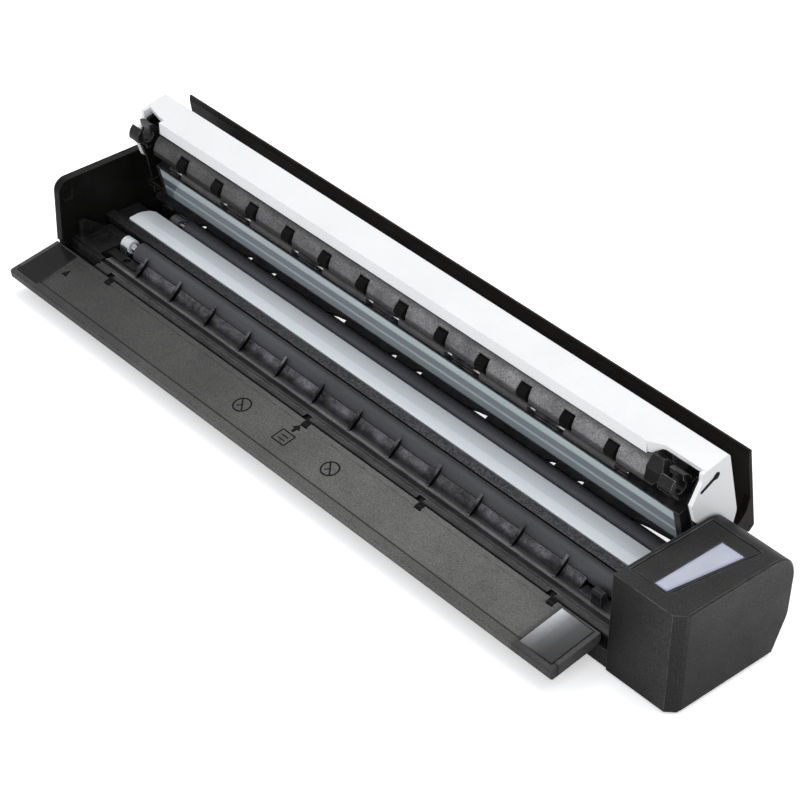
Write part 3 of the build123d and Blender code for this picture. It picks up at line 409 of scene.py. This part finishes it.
def light_pipe():
    return plastic("light_pipe_clear", dark=(0.62, 0.66, 0.64), light=(0.7, 0.74, 0.72), rough=(0.1, 0.2),
                   grain=900.0, grain_bump=0.05, depth=0.02, specular=0.5, speckle=0.02, edge_highlight=1.05)


def gear_plastic():
    return plastic("gear_acetal", dark=(0.6, 0.57, 0.5), light=(0.7, 0.67, 0.6), rough=(0.3, 0.42),
                   grain=1600.0, grain_bump=0.1, depth=0.03, specular=0.4, speckle=0.04, edge_highlight=1.05)


def slot_looks():
    """Look of each material slot whose nodes don't all have a look of their own."""
    return {
        "case_black": plastic("case_satin_black", **SATIN_CASE),
        "guide_grey": guide_plastic(),
        "skin_grey": upper_guide_plastic(),
        "flap_grey": flap_plastic(),
        "cover_white": cover_plastic(),
        "part_white": strip_plastic(),
        "roller_rubber": plastic("roller_rubber", dark=(0.044, 0.0445, 0.048), light=(0.060, 0.0605, 0.066),
                                 **ROLLER_GRAIN),
        "foot_rubber": foot_rubber(),
        "steel": metal("steel_drawn", (0.56, 0.56, 0.57), (0.22, 0.34)),
        "bright_steel": metal("steel_bright", (0.7, 0.7, 0.71), (0.12, 0.2)),
        "sensor_glass": scan_glass(),
        "button_lens": pale_window(),
        "light_pipe": light_pipe(),
        "circuit_green": circuit_board(),
        "gear_cream": gear_plastic(),
    }


def end_wall_plastic():
    return plastic("end_wall_deep_black", **NEAR_BLACK, rough=(0.36, 0.5), cloud=140.0, grain=2800.0,
                   grain_bump=0.3, depth=0.05, specular=0.08, speckle=0.3, edge_highlight=4.5, radius=0.4)


def control_box_plastic():
    """Satin case plastic with painted light: its right face is painted lighter to the rear and the top, and its
    front face to the right.
    """
    to_right = (by_facing, "X", [(0.5, 0.0), (0.9, 1.0)])
    to_front = (by_facing, "Y", [(-0.95, 1.0), (-0.8, 0.0)])
    return plastic("box_satin_black", **SATIN_CASE,
                   local=[(to_right, ("Y", [(-19.0, 1.0), (0.0, 1.25), (24.0, 1.8)])),
                          (to_right, ("Z", [(0.0, 0.95), (16.0, 1.1), (32.0, 1.6)])),
                          (to_front, ("X", [(111.2, 0.4), (119.0, 0.85), (132.0, 1.5)]))])


def output_guide_plastic():
    return plastic("output_guide_brown_black", dark=(0.0065, 0.0050, 0.0040), light=(0.0100, 0.0080, 0.0065),
                   rough=(0.32, 0.46), cloud=120.0, grain=2400.0, grain_bump=0.3, depth=0.05,
                   specular=0.10, speckle=0.3, edge_highlight=1.5, radius=0.3)


def pinch_roller_plastic():
    return plastic("pinch_roller_black", **NEAR_BLACK, rough=(0.6, 0.8), cloud=90.0, grain=2600.0,
                   grain_bump=0.4, depth=0.05, specular=0.05, speckle=0.2, edge_highlight=1.5, radius=0.1)


def idle_tube_plastic():
    return plastic("idle_tube_satin", dark=(0.0300, 0.0295, 0.0295), light=(0.0520, 0.0510, 0.0505),
                   rough=(0.22, 0.4), cloud=240.0, grain=2400.0, grain_bump=0.2, depth=0.03,
                   specular=0.4, speckle=0.2, edge_highlight=1.8, radius=0.2)


def cover_frame_plastic():
    # Strong painted highlight along the edges
    return plastic("cover_frame_deep_black", **NEAR_BLACK, rough=(0.25, 0.45), cloud=140.0, grain=2400.0,
                   grain_bump=0.3, depth=0.05, specular=0.14, speckle=0.25, edge_highlight=14.0, radius=0.5)


def claw_plastic():
    # Strong painted highlight along the edges of the gloss black
    return plastic("claw_gloss_black", dark=(0.0050, 0.0047, 0.0045), light=(0.0120, 0.0115, 0.0112),
                   rough=(0.18, 0.34), cloud=200.0, grain=2400.0, grain_bump=0.15, depth=0.03,
                   specular=0.22, speckle=0.25, edge_highlight=16.0, radius=0.5)


def exit_guide_plastic():
    return plastic("exit_guide_black", dark=(0.0160, 0.0152, 0.0160), light=(0.0380, 0.0365, 0.0385),
                   rough=(0.3, 0.5), cloud=220.0, grain=2000.0, grain_bump=0.3, depth=0.05,
                   specular=0.25, speckle=0.25, edge_highlight=2.0, radius=0.2)


def scan_bed_plastic():
    """Coarse spark-eroded grain, darker towards the left end."""
    along = [(-128.0, 0.3), (-105.0, 0.5), (-60.0, 0.9), (20.0, 1.1)]
    return plastic("scan_bed_spark_grain", dark=(0.0140, 0.0135, 0.0150), light=(0.0980, 0.0930, 0.0980),
                   rough=(0.36, 0.6), cloud=1500.0, grain=3200.0, grain_bump=0.7, depth=0.10,
                   specular=0.15, speckle=0.4, edge_highlight=1.6, radius=0.2, light_and_tone_bands=[("X", along)])


def bush_plastic():
    """White in front, where the feed roller's bushes are, and dark at the eject roller's."""
    across = [(-8.0, 1.0), (4.0, 1.0), (8.0, 0.22), (20.0, 0.22)]
    return plastic("bush_white_front", dark=(0.55, 0.58, 0.60), light=(0.66, 0.69, 0.71), rough=(0.3, 0.42),
                   cloud=200.0, grain=1500.0, grain_bump=0.1, depth=0.03, specular=0.4, speckle=0.04,
                   edge_highlight=1.1, radius=0.2, light_and_tone_bands=[("Y", across)])


def hinge_strip_plastic():
    """Strip behind the flap with painted light: painted shade along its front and in the channel between two
    ridges, painted highlights on the ridges, and painted shade in the notches for the knuckles and on faces that
    point to the right.
    """
    # Painted shade along the front and in the channel, painted highlights on the two ridges
    across = [(-19.0, 0.1), (-17.95, 0.15), (-17.75, 1.0), (-16.4, 1.25), (-15.9, 3.0), (-15.5, 0.8),
              (-15.25, 0.3), (-14.9, 0.02), (-13.95, 0.02), (-13.75, 1.6), (-13.4, 4.0), (-12.9, 3.8),
              (-12.5, 2.7), (-12.2, 1.4), (-11.8, 0.8), (-11.1, 0.6)]
    # Painted shade low in the knuckle notches
    up = [(9.5, 0.06), (10.1, 0.12), (10.3, 1.0), (11.5, 1.0)]
    return plastic("hinge_strip_grain", dark=(0.0240, 0.0232, 0.0240), light=(0.0480, 0.0465, 0.0480),
                   rough=(0.34, 0.6), cloud=300.0, grain=2600.0, grain_bump=0.5, depth=0.08,
                   specular=0.1, speckle=0.3, edge_highlight=4.0, radius=0.3, stretch=(0.4, 1.0, 1.0),
                   light_and_tone_bands=[("Y", across), ("Z", up)], facing=[("X", [(0.3, 1.0), (0.8, 0.3)])])


def entrance_guide_plastic():
    """Ribbed guide with painted light: lighter along its front and rear and darker between, painted shade on the
    right faces of the ribs, and mottling that is partly flow marks and partly painted patchy reflection.
    """
    # Painted light on the front slope and the rear, painted shade in the gap between
    across = [(-14.0, 3.0), (-12.7, 2.5), (-12.5, 0.3), (-10.5, 0.4), (-9.8, 1.3), (-9.4, 2.1), (-7.0, 2.3)]
    return plastic("entrance_guide_painted_light", dark=(0.0070, 0.0069, 0.0075), light=(0.0600, 0.0590, 0.0640),
                   rough=(0.28, 0.5), cloud=180.0, grain=1600.0, grain_bump=0.35, depth=0.06,
                   specular=0.1, speckle=0.4, edge_highlight=1.6, radius=0.15,
                   light_and_tone_bands=[("Y", across)], facing=[("X", [(0.3, 1.0), (0.8, 0.10)])])


def left_deck_plastic():
    return plastic("left_deck_black", dark=(0.0040, 0.0037, 0.0035), light=(0.0150, 0.0142, 0.0140),
                   rough=(0.3, 0.5), cloud=240.0, grain=2200.0, grain_bump=0.35, depth=0.06,
                   specular=0.15, speckle=0.3, edge_highlight=5.0, radius=0.25)


def right_pad_plastic():
    """Gloss pad whose pale colour is a painted reflection, which fades to the right and to the front."""
    along = [(94.9, 1.0), (96.5, 0.75), (99.5, 0.30), (103.0, 0.10), (107.4, 0.04)]
    across = [(-36.0, 0.22), (-30.0, 0.5), (-20.0, 1.0)]
    return plastic("right_pad_painted_reflection", dark=(0.560, 0.575, 0.600), light=(0.640, 0.655, 0.680),
                   rough=(0.14, 0.2), specular=0.10, edge_highlight=2.0, **PAD_GRAIN,
                   light_and_tone_bands=[("X", along), ("Y", across)])


def left_pad_plastic():
    return plastic("left_pad_gloss", dark=(0.0105, 0.0102, 0.0105), light=(0.0150, 0.0147, 0.0150),
                   rough=(0.16, 0.24), specular=0.08, edge_highlight=5.0, **PAD_GRAIN)


def node_looks():
    """Looks of single nodes that differ from the rest of their slot."""
    claw = claw_plastic()
    return {
        "left_end_wall": end_wall_plastic(),
        "control_box": control_box_plastic(),
        "output_guide": output_guide_plastic(),
        "pinch_rollers": pinch_roller_plastic(),
        "idle_tubes": idle_tube_plastic(),
        "cover_frame": cover_frame_plastic(),
        "latch_claw_left": claw,
        "latch_claw_right": claw,
        "guide_end_tab": claw,
        "exit_guide": exit_guide_plastic(),
        "scan_bed": scan_bed_plastic(),
        "roller_bushes": bush_plastic(),
        "hinge_strip": hinge_strip_plastic(),
        "entrance_guide": entrance_guide_plastic(),
        "left_side_frame": left_deck_plastic(),
        "flap_pad_right": right_pad_plastic(),
        "eject_sleeve": plastic("eject_roller_rubber", dark=(0.062, 0.0625, 0.070), light=(0.084, 0.0845, 0.094),
                                **ROLLER_GRAIN),
        "flap_pad_left": left_pad_plastic(),
    }


def paint(by_slot, by_node):
    for part in frame["record"]["subparts"]:
        name = part["node"]
        mesh = nodes[name].data
        mesh.materials.clear()
        mesh.materials.append(by_node[name] if name in by_node else by_slot[part["material_slot"]])


def drooped_point(x, back, lift):
    """Point of the flap at x, back millimetres in front of its rear edge and lift above its sunk field."""
    angle = math.radians(FLAP_DROOP)
    dy = -back
    dz = lift - FLAP_FIELD
    y = FLAP_EDGE[0] + dy * math.cos(angle) - dz * math.sin(angle)
    z = FLAP_EDGE[1] + dy * math.sin(angle) + dz * math.cos(angle)
    return (x * MM, (y + FRONT_Y) * MM, z * MM)


def inked(name, outlines, place, body, mat):
    """Printed or moulded mark: thin raised prisms from flat outlines, riding on a body."""
    points = []
    faces = []
    for outline in outlines:
        count = len(outline)
        start = len(points)
        points += [place(u, v, False) for u, v in outline]
        points += [place(u, v, True) for u, v in outline]
        faces.append(list(range(start + count, start + 2 * count)))
        faces.append(list(range(start + count - 1, start - 1, -1)))
        for index in range(count):
            after = (index + 1) % count
            faces.append([start + index, start + after, start + count + after, start + count + index])
    mesh = bpy.data.meshes.new(name)
    mesh.from_pydata(points, [], faces)
    mesh.materials.append(mat)
    mark = bpy.data.objects.new(name, mesh)
    bpy.context.scene.collection.objects.link(mark)
    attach(mark, body)


def ring_quads(centre, radius, width, count):
    """Ring as a list of four-sided outlines."""
    quads = []
    for index in range(count):
        a0 = 2 * math.pi * index / count
        a1 = 2 * math.pi * (index + 1) / count
        quads.append([(centre[0] + r * math.cos(a), centre[1] + r * math.sin(a))
                      for r, a in ((radius - width, a0), (radius, a0), (radius, a1), (radius - width, a1))])
    return quads


def bar(first, second, width):
    """Straight stroke between two points as one outline."""
    length = math.hypot(second[0] - first[0], second[1] - first[1])
    across = ((first[1] - second[1]) / length * width / 2, (second[0] - first[0]) / length * width / 2)
    return [(first[0] + across[0], first[1] + across[1]), (first[0] - across[0], first[1] - across[1]),
            (second[0] - across[0], second[1] - across[1]), (second[0] + across[0], second[1] + across[1])]


def frame_bars(x0, x1, v0, v1, width):
    """Strokes round a rectangle."""
    corners = [(x0, v0), (x1, v0), (x1, v1), (x0, v1)]
    return [bar(corners[index], corners[(index + 1) % 4], width) for index in range(4)]


def barred_ring(x, v):
    """Ring with a slash across it and a short stroke, round a centre on the flap."""
    ring = ring_quads((x, v), RING_RADIUS, RING_STROKE, RING_SIDES)
    slash = bar((x - SLASH_REACH, v - SLASH_REACH), (x + SLASH_REACH, v + SLASH_REACH), RING_STROKE)
    short_stroke = bar((x - 1.1, v + 1.3), (x + 0.1, v - 0.2), 0.4)
    return ring + [slash, short_stroke]


def fed_sheet():
    """Sheet with two lines of writing and an arrow that points away from it."""
    edges = frame_bars(-15.0, -9.6, 6.6, 11.2, 0.4)
    lines = [bar((-13.8, 9.8), (-10.8, 9.8), 0.35), bar((-13.8, 8.3), (-10.8, 8.3), 0.35)]
    arrow_head = [(-13.9, 4.2), (-10.7, 4.2), (-12.3, 2.2)]
    arrow_stem = bar((-12.3, 4.2), (-12.3, 5.7), 1.1)
    return edges + lines + [arrow_head, arrow_stem]


def flap_marks(mat):
    """Generic feeding marks on the flap, in millimetres along X and in front of the flap's rear edge."""
    def on_flap(x, back, top):
        return drooped_point(x, back, MARK_TOP if top else MARK_FOOT)

    triangle = [(-122.6, 8.7), (-120.0, 8.7), (-121.3, 5.7)]
    for name, outlines in (("flap_mark_arrowhead", [triangle]),
                           ("flap_mark_ring_left", barred_ring(-32.1, 8.3)),
                           ("flap_mark_ring_right", barred_ring(7.8, 8.2)),
                           ("flap_mark_sheet", fed_sheet())):
        inked(name, outlines, on_flap, "flap", mat)


def fitted_camera():
    yaw, pitch, roll = (math.radians(v) for v in (CAMERA_YAW, CAMERA_PITCH, CAMERA_ROLL))
    back = Vector((math.sin(yaw) * math.cos(pitch), -math.cos(yaw) * math.cos(pitch), math.sin(pitch)))
    right = Vector((0.0, 0.0, 1.0)).cross(back).normalized()
    up = back.cross(right)
    turned_right = math.cos(roll) * right + math.sin(roll) * up
    turned_up = -math.sin(roll) * right + math.cos(roll) * up
    place = Vector((CAMERA_PLACE[0], CAMERA_PLACE[1] + FRONT_Y, CAMERA_PLACE[2])) * MM
    data = bpy.data.cameras.new("photo_camera")
    data.sensor_width = SENSOR_WIDTH
    data.lens = CAMERA_FOCAL * SENSOR_WIDTH / FRAME_PIXELS
    data.clip_start = CAMERA_CLIP
    camera = bpy.data.objects.new("photo_camera", data)
    bpy.context.scene.collection.objects.link(camera)
    axes = Matrix((turned_right, turned_up, back)).transposed().to_4x4()
    camera.matrix_world = Matrix.Translation(place) @ axes
    bpy.context.scene.camera = camera


def floor():
    """Pale matt floor that glows a little for the camera alone."""
    mesh = bpy.data.meshes.new("floor")
    size = FLOOR_HALF
    mesh.from_pydata([(-size, -size, 0), (size, -size, 0), (size, size, 0), (-size, size, 0)], [],
                     [(0, 1, 2, 3)])
    obj = bpy.data.objects.new("floor", mesh)
    bpy.context.scene.collection.objects.link(obj)
    mat, tree, shader = new_material("floor_pale")
    shader.inputs["Base Color"].default_value = (FLOOR_TONE, FLOOR_TONE, FLOOR_TONE, 1.0)
    shader.inputs["Roughness"].default_value = 0.95
    shader.inputs["Specular IOR Level"].default_value = 0.0
    shader.inputs["Emission Color"].default_value = WHITE
    path = tree.nodes.new("ShaderNodeLightPath")
    tree.links.new(value_range(tree, path.outputs["Is Camera Ray"], 0.0, FLOOR_GLOW),
                   shader.inputs["Emission Strength"])
    mesh.materials.append(mat)


def background(tree, colour, strength):
    node = tree.nodes.new("ShaderNodeBackground")
    node.inputs["Color"].default_value = colour
    node.inputs["Strength"].default_value = strength
    return node.outputs["Background"]


def studio_world():
    """Soft pale fill, and plain white for camera, glossy and transmission rays."""
    world = bpy.data.worlds.new("studio")
    bpy.context.scene.world = world
    world.use_nodes = True
    tree = world.node_tree
    tree.nodes.clear()
    out = tree.nodes.new("ShaderNodeOutputWorld")
    fill = background(tree, FILL_COLOUR, FILL_STRENGTH)
    plain = background(tree, WHITE, 1.0)
    path = tree.nodes.new("ShaderNodeLightPath")
    seen = path.outputs["Is Camera Ray"]
    for key in ("Is Glossy Ray", "Is Transmission Ray"):
        either = tree.nodes.new("ShaderNodeMath")
        either.operation = "MAXIMUM"
        tree.links.new(seen, either.inputs[0])
        tree.links.new(path.outputs[key], either.inputs[1])
        seen = either.outputs["Value"]
    mix = tree.nodes.new("ShaderNodeMixShader")
    tree.links.new(seen, mix.inputs["Fac"])
    tree.links.new(fill, mix.inputs[1])
    tree.links.new(plain, mix.inputs[2])
    tree.links.new(mix.outputs["Shader"], out.inputs["Surface"])


def area_light(name, place, size, power):
    data = bpy.data.lights.new(name, "AREA")
    data.shape = "RECTANGLE"
    data.size, data.size_y = size
    data.energy = power
    lamp = bpy.data.objects.new(name, data)
    bpy.context.scene.collection.objects.link(lamp)
    lamp.location = place
    direction = Vector(LAMP_TARGET) - Vector(place)
    lamp.rotation_euler = direction.to_track_quat("-Z", "Y").to_euler()


def main():
    paint(slot_looks(), node_looks())
    flap_marks(plastic("mark_ink", (0.006, 0.006, 0.006), (0.009, 0.009, 0.009), (0.5, 0.6), specular=0.05))
    fitted_camera()
    floor()
    studio_world()
    for lamp in LAMPS:
        area_light(*lamp)
    bpy.context.scene.view_settings.view_transform = "Standard"


main()
